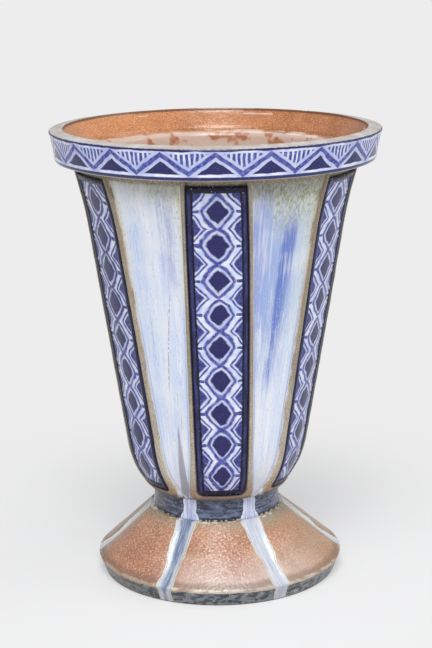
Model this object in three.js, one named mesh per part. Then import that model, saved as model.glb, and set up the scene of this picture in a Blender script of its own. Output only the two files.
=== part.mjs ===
// A stoneware cone vase, as the potter makes it: a lobed foot, a neck collar, a fluted cone
// with six pressed panels and their ridges laid on it, and a banded rim.
// Millimetres, +Z up, the origin at the middle of the foot's underside, one panel facing -Y.
import * as THREE from 'three';

// Foot
const footRadius = 89;
const footHeight = 50;
const footRing = 8;
const footEdge = 1.2;
const footWall = 9;
const plinthHeight = 12.6;
const plinthFlare = 4.3;
const bellTopStep = 3;
const lobeRise = 3.4;
const valleySink = 3.2;
const valleyWidth = 11;

// Neck
const neckRadius = 48;
const neckHeight = 16.5;
const neckWaist = 0.5;
const collarWall = 7.7;
const spigotHeight = 6;
const spigotWall = 7;

// Cone
const coneHeight = 249.5;
const coneLowRadius = 63.2;
const coneSlope = 0.1645;
const bottomRoundHeight = 42;
const bottomRoundIn = 11.35;
const flareHeight = 41;
const flareOut = 3.6;
const coneWall = 8;
const floorThickness = 9;
const floorCove = 10;
const fluteHollow = 1.2;

// Rim
const rimOverhang = 14.35;
const rimHeight = 24;
const rimTaper = 3.6;
const rimRound = 3.4;
const lipWidth = 10.6;
const lipFall = 1.2;
const lipRound = 1.1;
const rimShoulder = 4;
const ledgeHeight = 8;
const ledgeWidth = 9;

// Panels and ridges
const panelCount = 6;
const relief = 3.2;
const panelTopWidth = 42.6;
const panelBottomWidth = 35.6;
const panelCorner = 5;
const panelBottomGap = 6.2;
const panelTopGap = 5;
const panelBorder = 5;
const borderBevel = 0.8;
const borderSetBack = 0.9;
const fieldSetBack = 1.9;
const ridgeTopWidth = 4.2;
const ridgeBottomWidth = 6;
const ridgeSpread = 2;
const ridgeCorner = 6;
const ridgeRound = 0.9;
const ridgeFoot = 0.4;

// Fit between pieces laid together
const clearance = 0.3;

// The least step between two rows of points
const leastStep = 0.2;

// Colours
const brownGlaze = { color: 0xb5714b, roughness: 0.4, metalness: 0 };
const slateGlaze = { color: 0x56617a, roughness: 0.3, metalness: 0 };
const paleGlaze = { color: 0xc9d2e8, roughness: 0.35, metalness: 0 };
const paintedGlaze = { color: 0xd8dcea, roughness: 0.25, metalness: 0 };
const inkGlaze = { color: 0x2c2f58, roughness: 0.2, metalness: 0 };
const bareClay = { color: 0x9c7f62, roughness: 0.7, metalness: 0 };

// Levels, worked out upwards from the table
const neckTop = footHeight + neckHeight;
const rimSeat = neckTop + coneHeight;
const ledgeTop = rimSeat + ledgeHeight;
const lipTop = rimSeat + rimHeight;
const panelBottom = neckTop + panelBottomGap;
const panelTop = rimSeat - panelTopGap;
const ridgeBottom = neckTop + ridgeFoot;
const ridgeTop = rimSeat - clearance;
const floorTop = neckTop + floorThickness;

// Angles round the axis
const sector = 2 * Math.PI / panelCount;
const columnsPerSector = 10;
const frontAngle = -Math.PI / 2;

// A lobe's crown, from its middle to the edge of the valley: share of the way across, share of its rise
const lobeShape = [[0, 1], [0.25, 0.97], [0.5, 0.9], [0.75, 0.77], [0.9, 0.64], [1, 0.45]];
const valleyLift = 0.05;

// Radius of the edge where the plinth meets the lobes
const plinthEdge = footRadius + plinthFlare;

// The foot and the cone each have a spigot inside the neck collar
const collarBore = neckRadius - collarWall;
const spigotRadius = collarBore - clearance;
const spigotBore = spigotRadius - spigotWall;

function mix(a, b, t) {
  return a + (b - a) * t;
}

// Radius of the ridges' crowns: a straight cone, drawn in at its foot and flared under the rim.
function crownRadius(z) {
  const rise = z - neckTop;
  const below = Math.max(0, 1 - rise / bottomRoundHeight);
  const above = Math.max(0, 1 - (rimSeat - z) / flareHeight);
  return coneLowRadius + coneSlope * rise - bottomRoundIn * below ** 2.5 + flareOut * above ** 1.6;
}

// The rim band stands out past the ridges' crowns.
const rimRadius = crownRadius(rimSeat) + rimOverhang;

// How far a corner of the given radius draws a side in, at a height above the corner's foot.
function cornerInset(radius, height) {
  const up = Math.min(1, Math.max(0, height / radius));
  return radius * (1 - Math.sqrt(1 - (1 - up) ** 2));
}

// Half the width of a panel without its corners, in millimetres round the cone.
function panelSquareHalf(z) {
  return mix(panelBottomWidth, panelTopWidth, (z - panelBottom) / (panelTop - panelBottom)) / 2;
}

function panelHalfWidth(z) {
  return panelSquareHalf(z) - cornerInset(panelCorner, z - panelBottom);
}

// Half the width of the bed that a panel and its ridge take up.
function bedHalfWidth(z) {
  const below = Math.max(0, 1 - (z - neckTop) / bottomRoundHeight);
  const ridgeWidth = mix(ridgeBottomWidth, ridgeTopWidth, (z - neckTop) / coneHeight);
  return panelSquareHalf(z) + ridgeWidth + ridgeSpread * below ** 1.5;
}

function ridgeHalfWidth(z) {
  return bedHalfWidth(z) - cornerInset(ridgeCorner, z - ridgeBottom);
}

function polar(angle, radius, z) {
  return new THREE.Vector3(radius * Math.cos(angle), radius * Math.sin(angle), z);
}

// A point on the cone near a panel: x millimetres to the right of its middle line.
function onCone(panelAngle, x, z, setBack) {
  return polar(panelAngle + x / crownRadius(z), crownRadius(z) - setBack, z);
}

// Turns a list of triangles into a geometry.
function solid(points, triangles) {
  const geometry = new THREE.BufferGeometry();
  geometry.setAttribute('position', new THREE.Float32BufferAttribute(points.flatMap((p) => p.toArray()), 3));
  geometry.setIndex(triangles.flat());
  geometry.computeVertexNormals();
  return geometry;
}

// Joins a stack of rings into one body. A ring is a list of points round the axis, or one point on it.
// Rings run outwards under the body, up its outside and down its inside.
function ringBody(rings) {
  const points = rings.flat();
  const starts = [];
  let total = 0;
  for (const ring of rings) {
    starts.push(total);
    total += ring.length;
  }
  const triangles = [];
  const closed = rings[0].length > 1;
  const steps = closed ? rings.length : rings.length - 1;
  for (let i = 0; i < steps; i++) {
    const j = (i + 1) % rings.length;
    const count = Math.max(rings[i].length, rings[j].length);
    for (let k = 0; k < count; k++) {
      const next = (k + 1) % count;
      const a = starts[i] + k % rings[i].length;
      const b = starts[i] + next % rings[i].length;
      const c = starts[j] + next % rings[j].length;
      const d = starts[j] + k % rings[j].length;
      if (a !== b) triangles.push([a, b, c]);
      if (c !== d) triangles.push([a, c, d]);
    }
  }
  return solid(points, triangles);
}

// A slab between two grids of points, the first facing outwards. Rows run up, columns to the right.
function slab(front, back) {
  const rows = front.length;
  const columns = front[0].length;
  const points = [...front.flat(), ...back.flat()];
  const at = (side, row, column) => side * rows * columns + row * columns + column;
  const triangles = [];
  const quad = (a, b, c, d) => triangles.push([a, b, c], [a, c, d]);
  for (let r = 0; r < rows - 1; r++) {
    for (let c = 0; c < columns - 1; c++) {
      quad(at(0, r, c), at(0, r, c + 1), at(0, r + 1, c + 1), at(0, r + 1, c));
      quad(at(1, r, c), at(1, r + 1, c), at(1, r + 1, c + 1), at(1, r, c + 1));
    }
  }
  for (let r = 0; r < rows - 1; r++) {
    quad(at(0, r, 0), at(0, r + 1, 0), at(1, r + 1, 0), at(1, r, 0));
    quad(at(0, r + 1, columns - 1), at(0, r, columns - 1), at(1, r, columns - 1), at(1, r + 1, columns - 1));
  }
  for (let c = 0; c < columns - 1; c++) {
    quad(at(0, 0, c + 1), at(0, 0, c), at(1, 0, c), at(1, 0, c + 1));
    quad(at(0, rows - 1, c), at(0, rows - 1, c + 1), at(1, rows - 1, c + 1), at(1, rows - 1, c));
  }
  return solid(points, triangles);
}

// A ring of the given radius, with evenly spread points.
function roundRing(radius, z) {
  const count = panelCount * columnsPerSector;
  const ring = [];
  for (let k = 0; k < count; k++) {
    ring.push(polar(frontAngle + 2 * Math.PI * k / count, radius, z));
  }
  return ring;
}

function onAxis(z) {
  return [new THREE.Vector3(0, 0, z)];
}

// A ring of the foot. Where it swells, the lobes rise square to the bell's slope, and the valleys
// between them sink into it.
function lobedRing(radius, z, swell) {
  const slope = Math.atan2(plinthEdge - neckRadius - bellTopStep, footHeight - plinthHeight);
  const valley = Math.min(valleyWidth / 2 / radius, sector / 6);
  const lobe = sector / 2 - valley;
  const half = lobeShape.map(([across, lift]) => [across * lobe, lift]);
  half.push([lobe + valley / 2, valleyLift]);
  const otherHalf = half.slice(1).map(([place, lift]) => [-place, lift]).reverse();
  const places = [[-sector / 2, 0], ...otherHalf, ...half];
  const ring = [];
  for (let i = 0; i < panelCount; i++) {
    for (const [place, lift] of places) {
      const out = swell * (lobeRise * lift - valleySink);
      const angle = frontAngle + sector * i + place;
      ring.push(polar(angle, radius + out * Math.cos(slope), z + out * Math.sin(slope)));
    }
  }
  return ring;
}

function foot() {
  const low = plinthEdge;
  const high = neckRadius + bellTopStep;
  const rings = [
    lobedRing(footRadius - footRing, 0, 0),
    lobedRing(footRadius - footEdge, 0, 0),
    lobedRing(footRadius, footEdge, 0),
    lobedRing(low, plinthHeight, 0),
  ];
  for (const t of [0.04, 0.13, 0.28, 0.46, 0.64, 0.82, 0.95]) {
    const swell = Math.sqrt(4 * t * (1 - t));
    rings.push(lobedRing(mix(low, high, t), mix(plinthHeight, footHeight, t), swell));
  }
  const wallDrop = footWall * Math.hypot(low - high, footHeight - plinthHeight) / (low - high);
  const hollowTop = footHeight - wallDrop;
  rings.push(
    lobedRing(high, footHeight, 0),
    lobedRing(spigotRadius, footHeight, 0),
    lobedRing(spigotRadius, footHeight + spigotHeight, 0),
    lobedRing(spigotBore, footHeight + spigotHeight, 0),
    lobedRing(spigotBore, mix(hollowTop, footHeight, 0.6), 0),
    lobedRing(high, hollowTop, 0),
    lobedRing(mix(high, low, 0.75), mix(hollowTop, plinthHeight - wallDrop, 0.75), 0),
  );
  return ringBody(rings);
}

function neckCollar() {
  return ringBody([
    roundRing(collarBore, footHeight),
    roundRing(neckRadius + neckWaist, footHeight),
    roundRing(neckRadius, mix(footHeight, neckTop, 0.25)),
    roundRing(neckRadius - neckWaist, mix(footHeight, neckTop, 0.7)),
    roundRing(neckRadius, neckTop),
    roundRing(collarBore, neckTop),
  ]);
}

// A ring of the cone's outside: beds for the panels, and hollow flutes between them.
function flutedRing(z) {
  const radius = crownRadius(z) - relief;
  const bed = Math.min(bedHalfWidth(z) / crownRadius(z), 0.45 * sector);
  const flute = sector / 2 - bed;
  const ring = [];
  for (let i = 0; i < panelCount; i++) {
    const middle = frontAngle + sector * i;
    const places = [-sector / 2, -bed - 0.6 * flute, -bed - 0.25 * flute, -bed, -bed / 2];
    places.push(0, bed / 2, bed, bed + 0.25 * flute, bed + 0.6 * flute);
    for (const place of places) {
      const across = Math.max(0, Math.abs(place) - bed) / flute;
      ring.push(polar(middle + place, radius - fluteHollow * (1 - (1 - across) ** 2), z));
    }
  }
  return ring;
}

// Heights along the cone, closer together where it curves.
function coneLevels(from, to) {
  const levels = [];
  for (const t of [0, 0.25, 0.5, 0.75]) levels.push(mix(neckTop, neckTop + bottomRoundHeight, t));
  for (const t of [0, 0.5]) levels.push(mix(neckTop + bottomRoundHeight, rimSeat - flareHeight, t));
  for (const t of [0, 0.35, 0.6, 0.8, 1]) levels.push(mix(rimSeat - flareHeight, rimSeat, t));
  return [from, ...levels.filter((z) => z > from + leastStep && z < to - leastStep), to];
}

function coneWallBody() {
  const seatRadius = crownRadius(rimSeat) - relief - rimShoulder;
  const ledgeInner = seatRadius - ledgeWidth;
  const insideFloor = crownRadius(floorTop + floorCove) - relief - coneWall;
  const insideTop = rimSeat - flareHeight;
  return ringBody([
    onAxis(neckTop),
    roundRing(spigotBore, neckTop),
    roundRing(spigotBore, neckTop - spigotHeight),
    roundRing(spigotRadius, neckTop - spigotHeight),
    roundRing(spigotRadius, neckTop),
    ...coneLevels(neckTop, rimSeat).map(flutedRing),
    roundRing(seatRadius, rimSeat),
    roundRing(seatRadius, ledgeTop - 0.2 * ledgeWidth),
    roundRing(seatRadius - 0.35 * ledgeWidth, ledgeTop),
    roundRing(seatRadius - 0.7 * ledgeWidth, ledgeTop - 0.15 * ledgeWidth),
    roundRing(ledgeInner, ledgeTop - 0.6 * ledgeWidth),
    roundRing(crownRadius(insideTop) - relief - coneWall, insideTop),
    roundRing(crownRadius(floorTop + floorCove + bottomRoundHeight) - relief - coneWall,
      floorTop + floorCove + bottomRoundHeight),
    roundRing(insideFloor, floorTop + floorCove),
    roundRing(insideFloor - 0.3 * floorCove, floorTop + 0.3 * floorCove),
    roundRing(insideFloor - floorCove, floorTop),
    onAxis(floorTop),
  ]);
}

function rimBand() {
  const bore = crownRadius(rimSeat) - relief - rimShoulder + clearance;
  const lowRadius = rimRadius - rimTaper;
  const lipInner = rimRadius - lipWidth;
  const lipOuterTop = lipTop - lipFall;
  return ringBody([
    roundRing(bore, rimSeat),
    roundRing(lowRadius - rimRound, rimSeat),
    roundRing(lowRadius - 0.3 * rimRound, rimSeat + 0.3 * rimRound),
    roundRing(lowRadius, rimSeat + rimRound),
    roundRing(mix(lowRadius, rimRadius, 0.3), mix(rimSeat + rimRound, lipOuterTop - lipRound, 0.4)),
    roundRing(rimRadius, lipOuterTop - lipRound),
    roundRing(rimRadius - 0.3 * lipRound, lipOuterTop - 0.3 * lipRound),
    roundRing(rimRadius - lipRound, lipOuterTop),
    roundRing(lipInner + lipRound, lipTop),
    roundRing(lipInner + 0.3 * lipRound, lipTop - 0.3 * lipRound),
    roundRing(lipInner, lipTop - lipRound),
    roundRing(bore, ledgeTop + clearance),
  ]);
}

// A pressed panel: a thin slab on the cone with a raised border round a sunk field.
function panel(panelAngle) {
  const inner = panelBorder + borderBevel;
  const rows = [0, 0.13, 0.45].map((t) => panelBottom + panelCorner * t);
  rows.push(panelBottom + panelBorder, ...coneLevels(panelBottom + inner, panelTop - inner));
  rows.push(panelTop - panelBorder, panelTop);
  rows.sort((a, b) => a - b);
  const front = [];
  const back = [];
  for (const z of rows.filter((level, i) => i === 0 || level - rows[i - 1] > leastStep)) {
    const half = panelHalfWidth(z);
    const sunk = z > panelBottom + panelBorder && z < panelTop - panelBorder;
    const fieldHalf = half - inner;
    const across = [-half, -fieldHalf - borderBevel, -fieldHalf, -fieldHalf / 2];
    across.push(0, fieldHalf / 2, fieldHalf, fieldHalf + borderBevel, half);
    front.push(across.map((x) => {
      const inField = sunk && Math.abs(x) <= fieldHalf;
      return onCone(panelAngle, x, z, inField ? fieldSetBack : borderSetBack);
    }));
    back.push(across.map((x) => onCone(panelAngle, x, z, relief - clearance)));
  }
  return slab(front, back);
}

// The ridge of clay round a panel: down its left side, under it and up its right side.
function ridge(panelAngle) {
  const cornerTop = panelBottom + panelCorner;
  const inside = [];
  const outside = [];
  for (const z of coneLevels(cornerTop, ridgeTop).reverse()) {
    inside.push([panelHalfWidth(z) + clearance, z]);
    outside.push([bedHalfWidth(z), z]);
  }
  const cornerX = panelSquareHalf(cornerTop) - panelCorner;
  const innerRadius = panelCorner + clearance;
  for (const turn of [0.25, 0.5, 0.75, 1]) {
    const angle = turn * Math.PI / 2;
    const outsideZ = mix(cornerTop, ridgeBottom, Math.sin(angle));
    inside.push([cornerX + innerRadius * Math.cos(angle), cornerTop - innerRadius * Math.sin(angle)]);
    outside.push([ridgeHalfWidth(outsideZ), outsideZ]);
  }
  for (const t of [0.5, 0]) {
    inside.push([cornerX * t, panelBottom - clearance]);
    outside.push([ridgeHalfWidth(ridgeBottom) * t, ridgeBottom]);
  }
  const crown = [];
  const seat = [];
  const last = inside.length - 1;
  for (let i = last; i >= -last; i--) {
    const side = i < 0 ? -1 : 1;
    const [insideX, insideZ] = inside[last - Math.abs(i)];
    const [outsideX, outsideZ] = outside[last - Math.abs(i)];
    const place = (across, setBack) => {
      const x = side * mix(insideX, outsideX, across);
      return onCone(panelAngle, x, mix(insideZ, outsideZ, across), setBack);
    };
    crown.push([place(1, ridgeRound), place(0.75, 0), place(0.25, 0), place(0, ridgeRound)]);
    seat.push([1, 0.75, 0.25, 0].map((across) => place(across, relief - clearance)));
  }
  return slab(crown, seat);
}

function addPiece(vase, name, geometry, finish) {
  const mesh = new THREE.Mesh(geometry, new THREE.MeshStandardMaterial(finish));
  mesh.name = name;
  vase.add(mesh);
}

const vase = new THREE.Group();
addPiece(vase, 'foot', foot(), brownGlaze);
addPiece(vase, 'neck_collar', neckCollar(), slateGlaze);
addPiece(vase, 'cone_wall', coneWallBody(), paleGlaze);
addPiece(vase, 'rim_band', rimBand(), paintedGlaze);
for (let i = 0; i < panelCount; i++) {
  const angle = frontAngle + sector * i;
  addPiece(vase, `panel_${i + 1}`, panel(angle), inkGlaze);
  addPiece(vase, `ridge_${i + 1}`, ridge(angle), bareClay);
}

export default vase;
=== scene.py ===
from functools import partialmethod
from math import atan2, cos, floor, hypot, pi, radians, sin, sqrt
import bpy
from mathutils import Matrix, Vector, noise


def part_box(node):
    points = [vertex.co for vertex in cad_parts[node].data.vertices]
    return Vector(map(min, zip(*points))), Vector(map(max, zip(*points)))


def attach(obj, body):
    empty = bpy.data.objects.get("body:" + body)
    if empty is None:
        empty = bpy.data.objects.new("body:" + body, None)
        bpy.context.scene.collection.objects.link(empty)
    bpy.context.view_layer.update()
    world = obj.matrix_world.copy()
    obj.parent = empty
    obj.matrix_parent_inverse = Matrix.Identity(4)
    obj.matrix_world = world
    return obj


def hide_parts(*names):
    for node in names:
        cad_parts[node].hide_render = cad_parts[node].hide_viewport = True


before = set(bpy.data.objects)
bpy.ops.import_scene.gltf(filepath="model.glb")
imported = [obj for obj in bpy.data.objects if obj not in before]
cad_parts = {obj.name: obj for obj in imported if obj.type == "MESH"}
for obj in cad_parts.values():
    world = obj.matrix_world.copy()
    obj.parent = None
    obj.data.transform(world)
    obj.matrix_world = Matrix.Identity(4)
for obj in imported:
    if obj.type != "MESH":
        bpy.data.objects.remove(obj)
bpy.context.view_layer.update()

# A stoneware cone vase. Sizes are in millimetres, and turn to metres where a mesh is shaped.
mm = 0.001


def nodeBox(node):
    low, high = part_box(node)
    return low / mm, high / mm


# levels and radii that the frame gives
plinthEdge = nodeBox("foot")[1].x
neckLow, neckHigh = nodeBox("neck_collar")
neckFoot, neckTop, neckRadius = neckLow.z, neckHigh.z, neckHigh.x - 0.5
rimLow, rimHigh = nodeBox("rim_band")
rimSeat, lipTop, rimRadius = rimLow.z, rimHigh.z, rimHigh.x
panelBottom, panelTop = [corner.z for corner in nodeBox("panel_1")]
sixth = pi / 3

coneShape = {
    "lowRadius": 63.2, "slope": 0.1645,     # the ridges' crowns, at the neck and upwards
    "roundHeight": 42, "roundIn": 11.35,    # drawn in at the foot of the cone
    "flareHeight": 41, "flareOut": 3.6,     # flared under the rim
    "twist": radians(4.0), "offAxis": 2.0,  # the neck, turned and set off the axis in the making
    "relief": 3.2, "fluteHollow": 1.5, "wall": 8, "floor": 9, "cove": 10,
    "shoulder": 4, "ledgeHeight": 8, "ledgeWidth": 9, "ripple": 0.3,
}
panelShape = {
    "topWidth": 42.6, "bottomWidth": 35.6, "corner": 5, "border": 5,
    "ridgeTop": 4.2, "ridgeBottom": 6, "ridgeSpread": 2, "ridgeCorner": 6, "ridgeFoot": 0.4,
    "bow": 1.5,                             # the sides swell a little between top and bottom
}
byEye = radians(2.2)                # the six valleys of the foot were set out by eye
neckTurn, footTurn = 0.75, 0.375    # the neck's and the foot's share of the twist
leanFoot = 14                       # the foot stands straight up to here


def clamp(value):
    return max(0.0, min(1.0, value))


def blend(a, b, t):
    return a + (b - a) * t


def easeIn(value, low, high):
    t = clamp((value - low) / (high - low))
    return t * t * (3 - 2 * t)


def crownRadius(z):
    below = max(0, 1 - (z - neckTop) / coneShape["roundHeight"])
    above = max(0, 1 - (rimSeat - z) / coneShape["flareHeight"])
    straight = coneShape["lowRadius"] + coneShape["slope"] * (z - neckTop)
    return straight - coneShape["roundIn"] * below ** 2.5 + coneShape["flareOut"] * above ** 1.6


def twist(z):
    return coneShape["twist"] * clamp((rimSeat - z) / (rimSeat - neckTop))


def cornerInset(radius, height):
    up = clamp(height / radius)
    return radius * (1 - sqrt(1 - (1 - up) ** 2))


def straightHalf(z):
    t = (z - panelBottom) / (panelTop - panelBottom)
    return blend(panelShape["bottomWidth"], panelShape["topWidth"], t) / 2


def lean(z):
    rise = clamp((z - leanFoot) / (neckFoot - leanFoot))
    return -coneShape["offAxis"] * min(clamp((rimSeat - z) / (rimSeat - neckTop)), rise)


def panelSquareHalf(z):
    t = clamp((z - panelBottom) / (panelTop - panelBottom))
    return straightHalf(z) + panelShape["bow"] * (1 - (2 * t - 1) ** 4)


def bedHalf(z):
    below = max(0, 1 - (z - neckTop) / coneShape["roundHeight"])
    rise = (z - neckTop) / (rimSeat - neckTop)
    width = blend(panelShape["ridgeBottom"], panelShape["ridgeTop"], rise)
    return straightHalf(z) + width + panelShape["ridgeSpread"] * below ** 1.5


# Modelling helpers

def startClean():
    if bpy.context.object and bpy.context.object.mode != "OBJECT":
        bpy.ops.object.mode_set(mode="OBJECT")
    bpy.ops.object.select_all(action="DESELECT")


def pick(piece):
    startClean()
    bpy.context.view_layer.objects.active = piece
    piece.select_set(True)


def spunPiece(name, profile, steps):
    # one vertex, extruded along the profile and spun once round the axis
    startClean()
    bpy.ops.mesh.primitive_plane_add(size=mm, location=(0, 0, 0))
    piece = bpy.context.object
    piece.name = piece.data.name = name
    bpy.ops.object.mode_set(mode="EDIT")
    bpy.ops.mesh.merge(type="CENTER")
    radius, z = profile[0]
    bpy.ops.transform.translate(value=(radius * mm, 0, z * mm))
    for nextRadius, nextZ in profile[1:]:
        step = ((nextRadius - radius) * mm, 0, (nextZ - z) * mm)
        bpy.ops.mesh.extrude_region_move(TRANSFORM_OT_translate={"value": step})
        radius, z = nextRadius, nextZ
    bpy.ops.mesh.select_all(action="SELECT")
    bpy.ops.mesh.spin(steps=steps, angle=2 * pi, center=(0, 0, 0), axis=(0, 0, 1))
    bpy.ops.mesh.select_all(action="SELECT")
    bpy.ops.mesh.remove_doubles(threshold=0.01 * mm)
    bpy.ops.mesh.normals_make_consistent(inside=False)
    bpy.ops.object.mode_set(mode="OBJECT")
    return piece


def gridPiece(name, columns, rows):
    # a flat grid one unit across, to be shaped over the cone
    startClean()
    bpy.ops.mesh.primitive_grid_add(x_subdivisions=columns, y_subdivisions=rows, size=1, location=(0, 0, 0))
    piece = bpy.context.object
    piece.name = piece.data.name = name
    return piece


def shape(piece, move):
    for vertex in piece.data.vertices:
        x, y, z = move(*(vertex.co / mm))
        vertex.co = Vector((x + lean(z), y, z)) * mm


def thicken(piece, thickness):
    pick(piece)
    modifier = piece.modifiers.new("Solidify", "SOLIDIFY")
    modifier.thickness = thickness * mm
    modifier.offset = -1.0
    bpy.ops.object.modifier_apply(modifier=modifier.name)


def finishPiece(piece, nodes, slotName, *looks):
    pick(piece)
    bpy.ops.object.shade_smooth()
    for look in looks:
        piece.data.materials.append(look.material)
    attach(piece, "root")
    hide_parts(*nodes)


def lineInside(piece, isInside):
    # the faces inside take the second look
    for face in piece.data.polygons:
        middle = face.center / mm
        face.material_index = int(isInside(hypot(middle.x, middle.y), middle.z))


def curvedPath(points, step):
    # fills a list of profile points in, so that no step is longer than the one given
    filled = [points[0]]
    for (r0, z0), (r1, z1) in zip(points, points[1:]):
        count = max(1, round(hypot(r1 - r0, z1 - z0) / step))
        filled += [(blend(r0, r1, i / count), blend(z0, z1, i / count)) for i in range(1, count + 1)]
    return filled


def arc(radius, z, size, start, end, count=6):
    # points on a quarter or part of a circle, by the angles from the +X axis
    turns = [radians(blend(start, end, i / count)) for i in range(count + 1)]
    return [(radius + size * cos(a), z + size * sin(a)) for a in turns]


def ripple(x, y, z, size):
    return noise.noise(Vector((x, y, z)) / size)


# Shader maths

class Wire:
    def __init__(self, look, socket):
        self.look = look
        self.socket = socket

    def maths(self, operation, *others):
        inputs = dict(enumerate((self, *others)))
        return self.look.add("ShaderNodeMath", {"operation": operation}, inputs)

    __add__ = __radd__ = partialmethod(maths, "ADD")
    __sub__ = partialmethod(maths, "SUBTRACT")
    __mul__ = __rmul__ = partialmethod(maths, "MULTIPLY")
    __truediv__ = partialmethod(maths, "DIVIDE")
    __pow__ = partialmethod(maths, "POWER")
    __abs__ = partialmethod(maths, "ABSOLUTE")
    atLeast = partialmethod(maths, "MAXIMUM")
    atMost = partialmethod(maths, "MINIMUM")

    def __rsub__(self, other):
        return self.look.add("ShaderNodeMath", {"operation": "SUBTRACT"}, {0: other, 1: self})

    def __neg__(self):
        return self * -1

    def clamped(self):
        return self.atLeast(0).atMost(1)

    def offCentre(self):
        # how far the place lies from the middle of its repeat, 0 to a half
        return abs(self - self.maths("FLOOR") - 0.5)

    def lay(self, amount, colour):
        # puts another colour over this one
        self.socket = self.look.mix(amount, self, colour).socket

    def rises(self, low, high):
        # 0 below low, 1 above high, smooth between
        settings = {"interpolation_type": "SMOOTHSTEP"}
        inputs = {"Value": self, "From Min": low, "From Max": high}
        return self.look.add("ShaderNodeMapRange", settings, inputs)

    def falls(self, low, high):
        return 1 - self.rises(low, high)

    def over(self, level, soft):
        return self.rises(level - soft, level + soft)

    def under(self, level, soft):
        return self.falls(level - soft, level + soft)

    def band(self, low, high, soft):
        return self.over(low, soft) * self.under(high, soft)


def linear(code):
    # a colour from its six hex digits, as the shader takes it
    channels = [int(code[i:i + 2], 16) / 255 for i in (0, 2, 4)]
    return (*[c / 12.92 if c <= 0.04045 else ((c + 0.055) / 1.055) ** 2.4 for c in channels], 1)


class Look:
    def __init__(self, name, colours=None, **constants):
        self.colours = colours
        self.material = bpy.data.materials.new(name)
        self.material.use_nodes = True
        self.nodes = self.material.node_tree.nodes
        self.links = self.material.node_tree.links
        self.surface = self.nodes["Principled BSDF"]
        for key, value in constants.items():
            self.surface.inputs[key.replace("_", " ")].default_value = value
        self.place = self.add("ShaderNodeTexCoord", output="Object")
        self.place = self.vector("SCALE", self.place, Scale=1 / mm)
        axes = self.add("ShaderNodeSeparateXYZ", {}, {0: self.place}).socket.node
        self.x, self.y, self.z = [Wire(self, axes.outputs[i]) for i in range(3)]

    def add(self, kind, settings=None, inputs=None, output=0):
        node = self.nodes.new(kind)
        for key, value in (settings or {}).items():
            setattr(node, key, value)
        for key, value in (inputs or {}).items():
            if isinstance(value, Wire):
                self.links.new(value.socket, node.inputs[key])
            else:
                node.inputs[key].default_value = value
        return Wire(self, node.outputs[output])

    def vector(self, operation, first, second=None, **named):
        inputs = {0: first, **named}
        if second is not None:
            inputs[1] = second
        return self.add("ShaderNodeVectorMath", {"operation": operation}, inputs)

    def combine(self, x, y, z):
        return self.add("ShaderNodeCombineXYZ", {}, {0: x, 1: y, 2: z})

    def mix(self, factor, first, second):
        # each colour is a wire, or a name from the look's own list
        both = [linear(self.colours[c]) if isinstance(c, str) else c for c in (first, second)]
        inputs = {0: factor, 6: both[0], 7: both[1]}
        return self.add("ShaderNodeMix", {"data_type": "RGBA"}, inputs, output=2)

    def noise(self, vector, size, detail=2.0, roughness=0.5):
        inputs = {"Vector": vector, "Scale": 1 / size, "Detail": detail, "Roughness": roughness}
        return self.add("ShaderNodeTexNoise", {}, inputs)

    def grain(self, size, detail=2.0, roughness=0.5):
        # noise that is alike in all directions
        return self.noise(self.place, size, detail, roughness)

    def brushed(self, across, upright, detail=2.0):
        # noise that is drawn out sideways, as a brush or the wheel leaves it
        vector = self.combine(self.x / across, self.y / across, self.z / upright)
        return self.noise(vector, 1, detail)

    def cells(self, size):
        return self.add("ShaderNodeTexVoronoi", {}, {"Vector": self.place, "Scale": 1 / size})

    def finish(self, colour, roughness, height):
        bump = self.add("ShaderNodeBump", {}, {"Height": height, "Distance": mm, "Strength": 1.0})
        for key, value in (("Base Color", colour), ("Roughness", roughness), ("Normal", bump)):
            self.links.new(value.socket, self.surface.inputs[key])
        return self


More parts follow.
